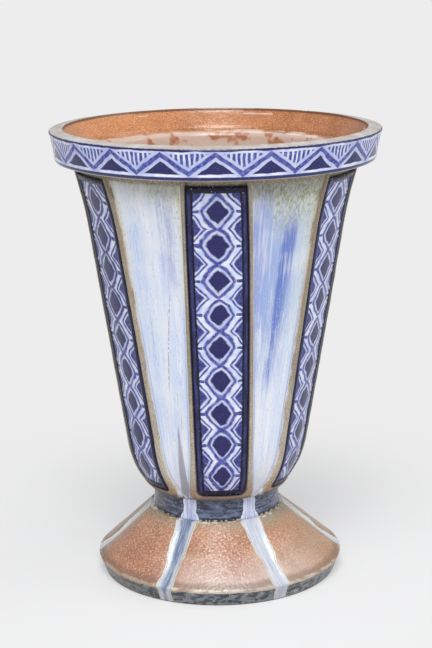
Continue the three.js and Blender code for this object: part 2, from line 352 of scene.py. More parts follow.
class VaseLook(Look):
    # places on the vase: the turn round it, the sixth, the way across a sixth and up a run of glaze
    def __init__(self, name, colours, **constants):
        super().__init__(name, colours, **constants)
        low = ((rimSeat - self.z) / (rimSeat - neckTop)).clamped()
        rise = ((self.z - leanFoot) / (neckFoot - leanFoot)).clamped()
        self.x = self.x + low.atMost(rise) * coneShape["offAxis"]
        self.radius = (self.x * self.x + self.y * self.y) ** 0.5
        share = footTurn + self.z.rises(neckFoot - 0.5, neckFoot) * (neckTurn - footTurn)
        share = share + self.z.rises(neckTop - 0.5, neckTop) * (1 - neckTurn)
        self.turn = self.x.maths("ARCTAN2", -self.y) - low * share * coneShape["twist"]
        self.local = self.turn - ((self.turn + sixth / 2) / sixth).maths("FLOOR") * sixth
        below = (1 - (self.z - neckTop) / coneShape["roundHeight"]).atLeast(0)
        above = (1 - (rimSeat - self.z) / coneShape["flareHeight"]).atLeast(0)
        straight = coneShape["lowRadius"] + (self.z - neckTop) * coneShape["slope"]
        drawnIn = below ** 2.5 * coneShape["roundIn"]
        self.crown = straight - drawnIn + above ** 1.6 * coneShape["flareOut"]
        self.across = self.local * self.crown
        rise = (self.z - panelBottom) / (panelTop - panelBottom)
        straight = straightHalf(self.z)
        bow = 1 - abs(rise.clamped() * 2 - 1) ** 4
        self.squareHalf = straight + bow * panelShape["bow"]
        rise = (self.z - neckTop) / (rimSeat - neckTop)
        ridge = blend(panelShape["ridgeBottom"], panelShape["ridgeTop"], rise)
        self.bedHalf = straight + ridge + below ** 1.5 * panelShape["ridgeSpread"]

    def runs(self, size, stretch, detail=2.0, roughness=0.5):
        # noise for glaze that runs down the cone: even across, drawn out downwards
        vector = self.combine(self.x / self.radius * 100 / size, self.y / self.radius * 100 / size,
                              self.z / (size * stretch))
        return self.noise(vector, 1, detail, roughness)

    def sway(self):
        # how far a painted line strays, sideways and up
        apart = self.vector("ADD", self.place, (31.0, 7.0, 3.0))
        return self.grain(11, 1) - 0.5, self.noise(apart, 10, 1) - 0.5

    def fromValley(self, radius):
        # the way to the nearest valley between two lobes of the foot
        turn = self.turn + (self.turn * 3).maths("SINE") * byEye
        whole = ((turn + sixth / 2) / sixth).maths("FLOOR")
        return (sixth / 2 - abs(turn - whole * sixth)) * radius

    def panelEdge(self):
        # how far inside a panel's outline a point lies
        corner = panelShape["corner"]
        sideways = abs(self.across) - self.squareHalf + corner
        down = (panelBottom + corner) - self.z
        outside = (sideways.atLeast(0) ** 2 + down.atLeast(0) ** 2) ** 0.5
        return (corner - outside - sideways.atLeast(down).atMost(0)).atMost(panelTop - self.z)


# Finishes, built up in layers. A pair of levels is where a layer fades in or out.

brushwork = {
    "white": "d9ddea", "shadeWhite": "b6c1e2", "wash": "8e96c8",
    "cobalt": "393b84", "light": "5c63ae", "ink": "252459", "grain": "7279b5",
}


def painted(look, ink, deep, wash):
    # cobalt painting under a glossy white glaze: ink is where the brush went, deep where it is solid
    cloud = look.grain(7, 3)
    ground = look.mix(cloud.rises(0.35, 0.7), "white", "shadeWhite")
    ground.lay(wash * 0.5, "wash")
    pool = look.grain(2.6).rises(0.35, 0.7)
    stroke = look.mix(pool, "cobalt", "light")
    stroke.lay(deep, "ink")
    stroke.lay(look.grain(0.9).rises(0.58, 0.75) * 0.25, "grain")
    thin = look.grain(1.6).rises(0.55, 0.75) * (1 - deep)
    return look.mix(ink * (1 - thin * 0.4), ground, stroke)


def panelLook():
    look = VaseLook("panel_glaze", {
        **brushwork, "navy": "1e1f4c", "wornNavy": "3b3f78", "black": "070814", "endBlack": "0a0d26",
        "glint": "c3c8d6",
    }, Specular_IOR_Level=0.3)
    field = {"from": panelBottom + 5.2, "to": panelTop - 5.4, "repeats": 9, "half": 14.0, "border": 5.2}
    chain = {"width": 8.9, "height": 11.6, "bend": 1.25, "core": 0.76, "ringFrom": 0.94, "ringTo": 1.2}
    corners = {"width": 5.8, "height": 7.4, "wedge": 0.86, "strokeFrom": 1.14, "strokeTo": 1.42}
    border = {"outerLine": (1.0, 2.1), "innerLine": (3.2, 4.1), "inside": (4.7, 5.3)}
    soft = 0.075
    pitch = (field["to"] - field["from"]) / field["repeats"]
    edge = look.panelEdge()
    aside, upwards = look.sway()
    press = (look.grain(5) - 0.5) * 0.34 - look.z.falls(100, 150) * 0.06
    # darker ink up the left panel: heavier painting there, and partly painted shade
    heavierInkAndShade = look.turn.falls(-1.0, -0.7) * look.z.rises(150, 230)
    press = press - heavierInkAndShade * 0.05
    inField = (edge + (look.grain(6) - 0.5) * 0.9).rises(*border["inside"])
    sideways = abs(look.across + aside * 3.4) / (look.squareHalf - field["border"]) * field["half"]
    upright = ((look.z + upwards * 3.6 - field["from"]) / pitch).offCentre() * pitch
    # a chain of lozenges, with wedges and strokes in the corners between them
    bend = chain["bend"]
    lozenge = ((sideways / chain["width"]) ** bend + (upright / chain["height"]) ** bend) ** (1 / bend)
    lozenge = lozenge * (0.8 + look.grain(26, 1) * 0.4)
    corner = (field["half"] - sideways) / corners["width"] + (pitch / 2 - upright) / corners["height"]
    core = (lozenge + press).under(chain["core"], soft)
    ring = lozenge.over(chain["ringFrom"], soft) * (lozenge + press).under(chain["ringTo"], soft)
    wedge = (corner + press).under(corners["wedge"], soft)
    stroke = corner.over(corners["strokeFrom"], soft) * (corner + press).under(corners["strokeTo"], soft)
    tick = (upright + press * 3).falls(0.9, 1.4) * sideways.rises(10.6, 11.2)
    ink = core.atLeast(ring).atLeast(wedge).atLeast(stroke).atLeast(tick)
    wash = lozenge.falls(0.7, 1.5) * 0.7 + corner.falls(0.8, 1.7) * 0.6
    picture = painted(look, ink, core.atLeast(wedge * 0.5).atLeast(ink * heavierInkAndShade * 0.55), wash)
    # the border: ink blue between two black lines, black at both ends and down the left panel, with painted
    # glints
    streaks = look.runs(3.0, 5, 3)
    navy = look.mix(streaks.rises(0.35, 0.7), "navy", "wornNavy")
    waver = edge + (look.grain(3) - 0.5) * 1.5
    line = waver.falls(*border["outerLine"]) * 0.8
    line = line.atLeast(waver.rises(*border["innerLine"]) * (0.45 + streaks))
    ends = look.z.rises(panelTop - 7, panelTop - 4)
    ends = ends.atLeast(look.z.falls(panelBottom + 2, panelBottom + 6))
    leftPanel = look.turn.falls(-0.75, -0.6)
    black = look.mix(ends, "black", "endBlack")
    navy.lay(line.atLeast(ends).atLeast(leftPanel * 0.7), black)
    # painted glints on the border, more at the black ends
    paintedBorderGlints = look.cells(1.9).falls(0.12, 0.3) * look.grain(7).rises(0.5, 0.62)
    navy.lay(paintedBorderGlints * (ends * 0.6 + 0.12), "glint")
    colour = look.mix(inField, navy, picture)
    pits = look.cells(2.2).falls(0.05, 0.22) * look.grain(9).rises(0.5, 0.65)
    bubbles = look.cells(1.7).falls(0.1, 0.42) * ends * (1 - inField)
    height = ink * inField * 0.06 + look.grain(3.4) * 0.18 - pits * 0.12 + bubbles * 0.5
    return look.finish(colour, 0.13 + look.grain(5, 3) * 0.12, height)


def ridgeLook():
    look = VaseLook("bare_clay", {
        "tan": "a59a8a", "dull": "897d6c", "gold": "a5845a", "high": "7d7466", "low": "c4baac",
        "foot": "a07a58", "pit": "6a5d50", "fleck": "cfc4b2", "ink": "26243a", "lip": "5b5550",
        "paintedLipHighlight": "bcb7ae", "straw": "96794a", "edge": "d6d4cf", "glaze": "d3d7e3",
    })
    share = -look.panelEdge() / (look.bedHalf - look.squareHalf)
    speck = look.grain(0.9, 3, 0.6)
    patch = look.runs(5, 6, 3)
    tan = look.mix(patch.rises(0.3, 0.7), "tan", "dull")
    gold = look.grain(9).rises(0.52, 0.66) * look.z.falls(90, 240)
    tan.lay(gold * 0.35, "gold")
    tan.lay(look.z.rises(190, 300) * 0.4, "high")
    left = look.turn.falls(-0.6, -0.2)
    tan.lay(look.z.falls(80, 190) * (0.55 + left * 0.2), "low")
    tan.lay(look.z.falls(72, 92) * 0.7, "foot")
    tan.lay(speck.rises(0.48, 0.62) * 0.6, "pit")
    tan.lay(speck.falls(0.32, 0.46) * 0.4, "fleck")
    tan.lay(share.falls(0.06, 0.26) * 0.9, "ink")
    # painted shade over the ridges' lower lip, below the panels
    lip = (look.z + (patch - 0.5) * 2).falls(panelBottom - 3.4, panelBottom - 1.0)
    tan.lay(lip * 0.75, "lip")
    # a painted highlight along the lip's bottom edge
    paintedLipHighlight = look.z.falls(neckTop + 1.0, neckTop + 1.4) * patch.rises(0.35, 0.5)
    tan.lay(paintedLipHighlight * 0.8, "paintedLipHighlight")
    straw = share.rises(0.6, 0.9) * look.grain(3, 3).rises(0.4, 0.58) * look.z.rises(150, 230)
    tan.lay(straw * 0.55, "straw")
    edge = share.rises(0.93, 1.02) * look.grain(14).rises(0.35, 0.6)
    tan.lay(edge * 0.75, "edge")
    # the flutes' glaze runs out between two ridges
    fromFlute = (sixth / 2 - abs(look.local)) * look.crown + (patch - 0.5) * 1.4
    run = fromFlute.falls(4.4, 5.2) * look.z.falls(72, 84)
    colour = look.mix(run, tan, "glaze")
    height = speck * 0.16 + look.grain(4) * 0.3 + run * 0.3
    roughness = 0.55 - edge.atLeast(run) * 0.25 + (speck - 0.5) * 0.15
    return look.finish(colour, roughness, height)


def fluteLook():
    look = VaseLook("running_glaze", {
        "white": "dde0e8", "coolWhite": "c6d2ea", "fine": "afbede", "blue": "839ad0", "run": "5872bc",
        "violet": "929dd2", "mist": "a9bccb", "smoke": "8294c6", "sky": "a3bce4", "milk": "e4e5e6",
        "thread": "eceae4", "dash": "eff0ee", "blueDash": "7f92b8", "edgeLine": "8ea2da", "bead": "dddbd2",
        "ash": "dadbd2", "paleAsh": "cfd0bd", "greenAsh": "b3b88a", "moss": "7c7f5a", "shade": "62614a",
        "fleck": "8f8c5e", "straw": "cbc8a4", "drip": "7b7c88", "hair": "6d6c72", "wedge": "86838c",
        "clay": "a09783", "clayGrain": "6a6454",
    })
    levels = {
        "blue": (140, 220), "run": (140, 200), "runEnd": (268, 292), "violet": (185, 240),
        "mist": (170, 235), "smoke": (215, 262), "sky": (90, 150), "skyEnd": (260, 290),
        "calm": (200, 250), "moss": (258, 306), "shade": (293, 311), "fleck": (170, 260),
        "straw": (200, 290), "drip": (215, 240), "hair": (158, 226), "edgeLine": (190, 250),
    }
    z = look.z
    # the way across a flute, from -1 at its left ridge to 1 at its right one
    whole = (look.turn / sixth).maths("FLOOR")
    half = look.crown * (sixth / 2) - look.bedHalf
    side = (look.turn - (whole + 0.5) * sixth) * look.crown / half
    edge = abs(look.across) - look.bedHalf
    blueFlute = (whole * pi).maths("COSINE") * 0.5 + 0.5
    paleFlute = 1 - blueFlute
    wide = look.runs(9, 14)
    fine = look.runs(1.8, 22, 3)
    thread = look.runs(0.9, 30)
    mottle = look.runs(1.5, 2.2, 3, 0.7)
    ragged = (look.runs(4, 5, 3) - 0.5) * 60
    sway = side + (wide - 0.5) * 0.6

    body = look.mix(wide.rises(0.35, 0.65), "white", "coolWhite")
    body.lay(fine.rises(0.45, 0.7) * 0.5, "fine")
    # the blue flutes: blue over the upper half, violet down the left, a deeper run that leans left
    blue = sway.falls(0.2, 0.8) * (z + ragged * 0.7).rises(*levels["blue"]) * (0.5 + fine * 0.7)
    body.lay((blue * blueFlute).atMost(0.95), "blue")
    leaning = sway - 0.15 - (z - 250) * 0.005
    run = (z + ragged).rises(*levels["run"]) * (z + ragged * 0.6).falls(*levels["runEnd"])
    run = leaning.band(-0.22, 0.18, 0.12) * run * blueFlute
    body.lay((run * (0.45 + thread)).atMost(1), "run")
    violet = sway.falls(-0.8, -0.4) * (z + ragged * 0.5).rises(*levels["violet"]) * blueFlute
    body.lay(violet * 0.7, "violet")
    mist = sway.rises(0.3, 0.7) * (z + ragged * 0.6).rises(*levels["mist"]) * blueFlute
    body.lay(mist * (0.25 + fine * 0.6), "mist")
    # the pale flutes: a smoky blue streak at the upper right, sky blue down the left
    smoke = sway.band(0.35, 0.72, 0.14) * (z + ragged).rises(*levels["smoke"]) * paleFlute
    body.lay(smoke * (0.2 + mottle * 0.8), "smoke")
    sky = (z + ragged).falls(*levels["skyEnd"]) * z.rises(*levels["sky"]) * paleFlute
    body.lay(sway.band(-0.85, -0.35, 0.15) * sky * (0.2 + fine * 0.5), "sky")
    # white threads and short dashes in all of them, fewer at the top of the blue ones
    milk = (fine * 0.7 + look.grain(30) * 0.6).rises(0.62, 0.8)
    body.lay(milk * 0.5, "milk")
    calm = 1 - blueFlute * z.rises(*levels["calm"]) * 0.7
    body.lay(thread.rises(0.56, 0.68) * 0.55 * calm, "thread")
    body.lay(look.runs(0.8, 2).rises(0.58, 0.7) * 0.45 * calm, "dash")
    body.lay(look.runs(1.1, 3).rises(0.6, 0.7) * 0.35, "blueDash")
    # moss and ash under the rim, worked into the glaze, and painted shade right under the rim
    clear = sway.falls(-0.75, -0.2) * blueFlute * 22
    mossy = z + ragged * 0.4 + side * paleFlute * 10 - paleFlute * 18 + 5 - clear
    mossy = mossy.rises(*levels["moss"])
    ash = look.mix(blueFlute, "paleAsh", "greenAsh")
    ash = look.mix(mottle.rises(0.4, 0.55), "ash", ash)
    ash.lay(mottle.rises(0.54, 0.66) * (0.65 + blueFlute * 0.2), "moss")
    body.lay(mossy * mossy * (0.4 + mottle * 0.7), ash)
    # painted shade under the rim's overhang
    shade = (z + ragged * 0.12 + side * paleFlute * 4 - paleFlute * 4).rises(*levels["shade"])
    body.lay(shade * (0.15 + blueFlute * 0.1 + mottle * 0.75), "shade")
    fleck = mottle.rises(0.56, 0.66) * edge.falls(1.5, 8) * z.rises(*levels["fleck"])
    body.lay(fleck * 0.6, "fleck")
    straw = edge.falls(0.8, 5.0) * z.rises(*levels["straw"]) * paleFlute
    body.lay(straw * 0.4, "straw")
    # thin dark drips, and a smoky wedge that widens downwards
    drip = look.runs(0.8, 90, 0).rises(0.72, 0.78) * look.runs(3, 8).rises(0.5, 0.6)
    body.lay(drip * z.falls(*levels["drip"]) * 0.55, "drip")
    hair = abs((side - 0.03 - (z - 164) * 0.0063) * half + (wide - 0.5) * 1.2).falls(0.2, 0.55)
    hair = hair * z.band(*levels["hair"], 8) * look.grain(2.2).rises(0.38, 0.5) * paleFlute
    body.lay(hair * 0.7, "hair")
    wedge = abs(side - 0.3 + (wide - 0.5) * 0.1) * half / 4.6 + (z - 74) / 62 + (fine - 0.5) * 0.6
    body.lay(wedge.falls(0.8, 1.0) * paleFlute * (0.5 + thread * 0.5), "wedge")
    # the bed round the panels and the fillet under the rim are the same tan clay as the ridges
    clay = look.mix(look.grain(1.1, 3, 0.6).rises(0.4, 0.62), "clay", "clayGrain")
    bare = edge.falls(-0.6, 0.0).atLeast((z + ragged * 0.04).rises(rimSeat - 6.5, rimSeat - 4))
    body.lay(bare, clay)
    line = edge.band(0.9, 1.9, 0.5) * (0.25 + fine * 0.8) * (1 - bare)
    body.lay(line * z.falls(*levels["edgeLine"]), "edgeLine")
    bead = edge.falls(0.5, 1.1) * (1 - bare) * (0.3 + look.grain(6).rises(0.35, 0.6) * 0.5)
    body.lay(bead, "bead")
    height = fine * 0.14 + wide * 0.35 + look.grain(2.2) * 0.08
    return look.finish(body, 0.26 + look.grain(8, 3) * 0.12 + bare * 0.25, height)


def insideLook():
    look = VaseLook("brown_glaze_inside", {
        "brown": "b77c55", "redBrown": "a66c45", "rightShade": "8a5434", "leftShine": "d39462",
        "speck": "7c4527", "fleck": "deb084", "pale": "c4b0a4", "blob": "a0664a", "ledge": "e6dcd2",
        "glint": "ecdccf", "underLip": "5c3a2a",
    })
    speck = look.grain(1.0, 3, 0.6)
    brown = look.mix(look.grain(16, 3).rises(0.3, 0.7), "brown", "redBrown")
    # painted shade on the right of the inside, painted light on the left
    brown.lay(look.x.rises(0, 95) * 0.35, "rightShade")
    brown.lay(look.x.falls(-100, -20) * 0.5, "leftShine")
    brown.lay(speck.rises(0.5, 0.64) * 0.6, "speck")
    brown.lay(speck.falls(0.34, 0.46) * 0.5, "fleck")
    # paler under the ledge, with brown blobs left in it
    ledge = rimSeat + coneShape["ledgeHeight"]
    pale = (look.z + (look.grain(9) - 0.5) * 2).falls(ledge - 1.4, ledge + 0.4)
    blobs = look.grain(12, 3).rises(0.54, 0.66)
    colour = look.mix(pale * (1 - blobs) * 0.85, brown, "pale")
    colour.lay(pale * blobs * 0.7, "blob")
    # painted highlight along the ledge's rounded edge
    edge = look.z.band(ledge - 1.2, ledge + 0.3, 0.3) * look.grain(15).rises(0.48, 0.66)
    colour.lay(edge * 0.6, "ledge")
    # painted glints along the inner wall, just under the lip
    glint = look.z.band(lipTop - 4.6, lipTop - 3.6, 0.4) * look.grain(24, 3).rises(0.56, 0.66)
    colour.lay(glint * 0.45, "glint")
    colour.lay(look.z.rises(lipTop - 2.4, lipTop - 1.4) * 0.8, "underLip")
    return look.finish(colour, 0.16 + speck * 0.12, speck * 0.14 + look.grain(6) * 0.3)


def rimLook():
    colours = {**brushwork, "clay": "c0bdba", "wornClay": "ada39b", "speck": "85766b"}
    look = VaseLook("painted_glaze", colours, Specular_IOR_Level=0.35)
    frieze = {"repeats": 20, "low": rimSeat + 4.2, "high": lipTop - 3.9, "inset": 1.2, "hatch": 3.6}
    low, high = frieze["low"], frieze["high"]
    repeat = 2 * pi * rimRadius / frieze["repeats"]
    aside, upwards = look.sway()
    along = look.turn * rimRadius + aside * 3.0
    z = look.z + upwards * 2.2
    press = (look.grain(5) - 0.5) * 0.9
    # a zigzag, with dark triangles under it and hatching over it
    wave = (along / repeat).offCentre() * 2
    zigzag = low + frieze["inset"] + wave * (high - low - 2 * frieze["inset"])
    under = (zigzag - z) / hypot(1, 2 * (high - low) / repeat)
    stroke = (abs(under) + press).falls(1.1, 1.7)
    core = (under + press).rises(3.3, 3.9) * z.rises(low + 0.7, low + 1.3)
    hatch = ((along / frieze["hatch"]).offCentre() + press * 0.08).falls(0.23, 0.35)
    bars = (press - under).rises(2.9, 3.5) * z.falls(high - 1.0, high - 0.4) * hatch
    topLine = z.rises(high + 0.5, high + 1.1)
    bottomLine = (look.z + press * 0.4).falls(low - 1.3, low - 0.6)
    ink = stroke.atLeast(core).atLeast(bars).atLeast(topLine).atLeast(bottomLine)
    wash = abs(under).falls(1.5, 7.0)
    picture = painted(look, ink, core.atLeast(topLine).atLeast(bottomLine * 0.9), wash)
    # the worn lip, and bare clay on the underside
    worn = (look.z + (look.grain(2.4, 3) - 0.5) * 0.7).rises(lipTop - 1.75, lipTop - 1.35)
    clay = look.mix(look.grain(12, 3).rises(0.3, 0.7), "clay", "wornClay")
    clay.lay(look.grain(1.0, 3).rises(0.5, 0.68) * 0.5, "speck")
    underside = look.z.falls(rimSeat + 0.5, rimSeat + 1.2)
    colour = look.mix(worn.atLeast(underside), picture, clay)
    roughness = 0.15 + worn * 0.25 + look.grain(5, 3) * 0.1
    return look.finish(colour, roughness, look.grain(3.4) * 0.16 + ink * 0.05)


def neckLook():
    look = VaseLook("slate_glaze", {
        "dark": "2f3549", "slate": "667190", "black": "1b1c27", "blotch": "7f8ca4", "leftSide": "4a443f",
        "dash": "b4c0d2", "lilac": "c9cde2", "deepLilac": "9ba4c6", "stripeEdge": "dfe3e8",
        "pool": "12131d", "paintedNeckGlints": "e0dfd6",
    })
    rings = look.brushed(16, 1.5, 3)
    cloud = look.grain(5, 3)
    slate = look.mix(rings.rises(0.35, 0.65), "dark", "slate")
    slate.lay(cloud.rises(0.46, 0.64) * 0.8, "black")
    slate.lay(look.grain(3.2, 3).rises(0.56, 0.7) * 0.5, "blotch")
    # painted shade down the left of the neck
    slate.lay(look.turn.falls(-1.2, -0.4) * 0.3, "leftSide")
    # painted highlights in short horizontal dashes
    slate.lay(look.brushed(5, 0.9).rises(0.63, 0.73) * 0.45, "dash")
    # lilac stripes that run down to the valleys of the foot and spread there
    spread = look.z.falls(neckFoot + 1, neckFoot + 7) * 2.2
    fromValley = look.fromValley(neckRadius) + (look.grain(4) - 0.5) * 2 - spread
    stripe = fromValley.falls(5.0, 5.8)
    lilac = look.mix(look.runs(2.5, 8).rises(0.35, 0.65), "lilac", "deepLilac")
    lilac.lay(fromValley.rises(3.6, 4.8) * 0.7, "stripeEdge")
    colour = look.mix(stripe, slate, lilac)
    tear = look.brushed(3, 3)
    pool = (look.z + (tear - 0.5) * 3).falls(neckFoot + 1.6, neckFoot + 2.6) * (1 - stripe)
    colour.lay(pool * 0.8, "pool")
    # painted glints along the foot of the neck
    paintedNeckGlints = tear.rises(0.46, 0.56) * look.z.falls(neckFoot + 0.6, neckFoot + 1.2) * (1 - stripe)
    colour.lay(paintedNeckGlints * 0.8, "paintedNeckGlints")
    return look.finish(colour, 0.16 + cloud * 0.15, rings * 0.5 + cloud * 0.15 + stripe * 0.5)


def footLook():
    look = VaseLook("brown_glaze", {
        "brown": "b5886d", "greyBrown": "a37760", "leftTop": "9c5f40", "speck": "81563f", "fleck": "e4c8b6",
        "right": "a08562", "farLeft": "94867a", "back": "a39a8c", "paintedSheen": "c9bdb7", "nearNeck": "8d8672",
        "paintedNeckGlints": "d8d5c8", "milk": "c6c8ce", "greyMilk": "b0b6c3", "leftOne": "a2aab9", "trough": "65748f",
        "sides": "c9ccc8", "edge": "cdc5b2", "dark": "2f363f", "slate": "767c82", "spot": "b9b29c",
        "tan": "84725f", "left": "3a3936", "paintedCreaseShade": "715c4c", "cream": "dcd3c0", "raw": "5c4030",
    })
    z = look.z
    speck = look.grain(1.3, 3, 0.6)
    cloud = look.grain(22, 3)
    brown = look.mix(cloud.rises(0.3, 0.7), "brown", "greyBrown")
    brown.lay(look.x.falls(-70, 10) * z.falls(30, 46) * 0.35, "leftTop")
    brown.lay(speck.rises(0.5, 0.62) * 0.6, "speck")
    brown.lay(speck.falls(0.34, 0.46) * 0.55, "fleck")
    brown.lay(look.x.rises(25, 70) * 0.4, "right")
    brown.lay(look.turn.falls(-1.5, -1.2) * 0.5, "farLeft")
    brown.lay(look.y.rises(0, 30) * 0.6, "back")
    # a painted sheen, paler low on the front lobes
    paintedSheen = (z + (cloud - 0.5) * 22).falls(12, 38) * look.x.rises(-60, 0) * look.x.falls(40, 90)
    brown.lay(paintedSheen * 0.7, "paintedSheen")
    nearNeck = (z + (speck - 0.5) * 3 + (cloud - 0.5) * 6).rises(neckFoot - 8, neckFoot - 0.6)
    brown.lay(nearNeck * (0.6 + look.x.rises(0, 50) * 0.2), "nearNeck")
    # painted glints at the top of the foot, under the neck
    paintedNeckGlints = z.rises(neckFoot - 0.9, neckFoot - 0.3) * look.grain(4, 3).rises(0.5, 0.62)
    brown.lay(paintedNeckGlints * 0.8, "paintedNeckGlints")
    # white glaze down the valleys, with a raised cream edge and a grey trough, deeper in the left one
    width = z.rises(22, 33) * 2 + z.rises(42, 50) * 0.8 + z.band(11, 17, 3) * 1.2 - z.falls(8, 12) * 0.4
    fromValley = look.fromValley(look.radius) + (look.grain(7) - 0.5) * 2.4 - width
    glaze = fromValley.falls(5.4, 6.0)
    trough = fromValley.falls(0.6, 3.2)
    leftOne = look.turn.band(-1.0, 0.0, 0.2)
    milk = look.mix(look.runs(2.5, 4).rises(0.35, 0.65), "milk", "greyMilk")
    milk.lay(leftOne * 0.25, "leftOne")
    streak = look.runs(1.8, 5).rises(0.38, 0.6)
    milk.lay(trough * (leftOne * (0.4 + streak * 0.5) + 0.15), "trough")
    milk.lay(abs(look.turn).rises(1.2, 1.4) * 0.7, "sides")
    rim = fromValley.rises(4.4, 5.0) * glaze
    milk.lay(rim * 0.85, "edge")
    colour = look.mix(glaze, brown, milk)
    # the dark band round the plinth, with a cream line and a band of painted crease shade over it
    slate = look.mix(look.brushed(6, 2.6, 3).rises(0.4, 0.6), "dark", "slate")
    slate.lay(look.grain(2.4).rises(0.6, 0.72) * 0.7, "spot")
    leftSide = look.x.falls(-66, -20)
    slate.lay(look.grain(9, 3).rises(0.44, 0.6) * leftSide * 0.45, "tan")
    slate.lay(leftSide * 0.25, "left")
    level = z + (look.grain(7, 3) - 0.5) * 3
    cream = level.band(11.1, 13.6, 0.4) * look.grain(12).rises(0.36, 0.52)
    cream = cream * (look.turn.band(-0.5, 0.1, 0.15) * 0.55 + look.turn.rises(0.0, 0.6) * 0.15 + 0.3)
    # painted shade in the crease over the plinth
    paintedCreaseShade = level.band(12.0, 16.6, 1.4)
    colour.lay(paintedCreaseShade * 0.6 * (1 - glaze), "paintedCreaseShade")
    colour.lay(cream * 0.85 * (1 - glaze), "cream")
    colour.lay(level.falls(10.4, 11.2) * (1 - glaze * 0.9), slate)
    colour.lay(z.falls(0.5, 1.3), "raw")
    pebble = look.grain(2.4, 2, 0.4)
    height = (speck * 0.12 + pebble * 0.6) * (1 - glaze * 0.7) + glaze * 0.2 + rim * 0.35
    return look.finish(colour, 0.27 - glaze * 0.05 + speck * 0.1, height)


# Pieces

def makeFoot():
    foot = {
        "plinth": 12.6, "flare": 4.3, "edge": 1.2, "ring": 8, "topStep": 3, "wall": 9, "rows": 50,
        "lobeRise": 3.4, "valleySink": 3.2, "valleyHalf": 6.5, "ripple": 0.35,
        "spigot": 40, "bore": 33, "spigotHeight": 6,
    }
    low, high = plinthEdge, neckRadius + foot["topStep"]
    base = plinthEdge - foot["flare"]
    spigotTop = neckFoot + foot["spigotHeight"]
    inwards, upwards = low - high, neckFoot - foot["plinth"]
    slope = atan2(inwards, upwards)
    drop = foot["wall"] * hypot(inwards, upwards) / inwards
    shares = [(i / foot["rows"]) ** 1.5 for i in range(foot["rows"] + 1)]   # closer near the plinth
    bell = [(blend(low, high, t), blend(foot["plinth"], neckFoot, t)) for t in shares]
    profile = curvedPath([(base - foot["ring"], 0), (base - 2 * foot["edge"], 0)], 2)
    profile += arc(base - foot["edge"], foot["edge"], foot["edge"], -90, 0)
    profile += curvedPath([(base + 0.2, 2), (low - 0.4, foot["plinth"] - 1.0)], 1)
    profile += bell
    profile += curvedPath([(high, neckFoot), (foot["spigot"], neckFoot)], 2.5)[1:]
    profile += [(foot["spigot"], spigotTop), (foot["bore"], spigotTop)]
    hollow = [(foot["bore"], neckFoot - 0.4 * drop), (high, neckFoot - drop)]
    hollow.append((blend(high, low, 0.75), blend(neckFoot, foot["plinth"], 0.75) - drop))
    hollow.append(profile[0])
    profile += curvedPath(hollow, 4)
    piece = spunPiece("foot_glazed", profile, 360)

    def lobes(x, y, z):
        radius = hypot(x, y)
        t = (z - foot["plinth"]) / (neckFoot - foot["plinth"])
        if 0 < t < 1 and abs(radius - blend(low, high, t)) < 0.5:       # on the bell's outside
            turn = atan2(x, -y) - footTurn * coneShape["twist"]
            turn += byEye * sin(3 * turn)
            local = turn - sixth * floor(turn / sixth + 0.5)
            fromValley = (sixth / 2 - abs(local)) * radius
            valleyHalf = foot["valleyHalf"]
            across = clamp((fromValley - valleyHalf) / (sixth / 2 * radius - valleyHalf))
            lift = 0.45 * easeIn(fromValley, 0.35 * valleyHalf, 1.1 * valleyHalf)
            lift += 0.55 * sqrt(1 - (1 - across) ** 2)
            out = (foot["lobeRise"] * lift - foot["valleySink"]) * sqrt(4 * t * (1 - t))
            out += foot["ripple"] * ripple(x, y, z, 14)
            radius += out * cos(slope)
            z += out * sin(slope)
        share = radius / max(hypot(x, y), 1e-6)
        return x * share, y * share, z

    shape(piece, lobes)
    print("foot: bell, lobes and plinth")
    finishPiece(piece, ["foot"], "brown_glaze", footLook())


def makeNeck():
    neck = {"waist": 0.5, "footFlare": 0.4, "bore": 40.3, "middle": 44, "rows": 26, "ripple": 0.25}
    side = []
    for i in range(neck["rows"] + 1):
        t = i / neck["rows"]
        out = neck["footFlare"] * (1 - t) - neck["waist"] * sin(pi * t)
        side.append((neckRadius + out, blend(neckFoot, neckTop, t)))
    foot = [(neck["bore"], neckFoot), (neck["middle"], neckFoot)]
    top = [(neck["middle"], neckTop), (neck["bore"], neckTop)]
    piece = spunPiece("neck_glazed", [*foot, *side, *top, foot[0]], 240)

    def thrown(x, y, z):
        radius = hypot(x, y)
        if radius < neckRadius - 2:
            return x, y, z
        share = 1 + neck["ripple"] * ripple(x / 6, y / 6, z, 2.4) / radius
        return x * share, y * share, z

    shape(piece, thrown)
    print("neck: thrown collar")
    finishPiece(piece, ["neck_collar"], "slate_glaze", neckLook())


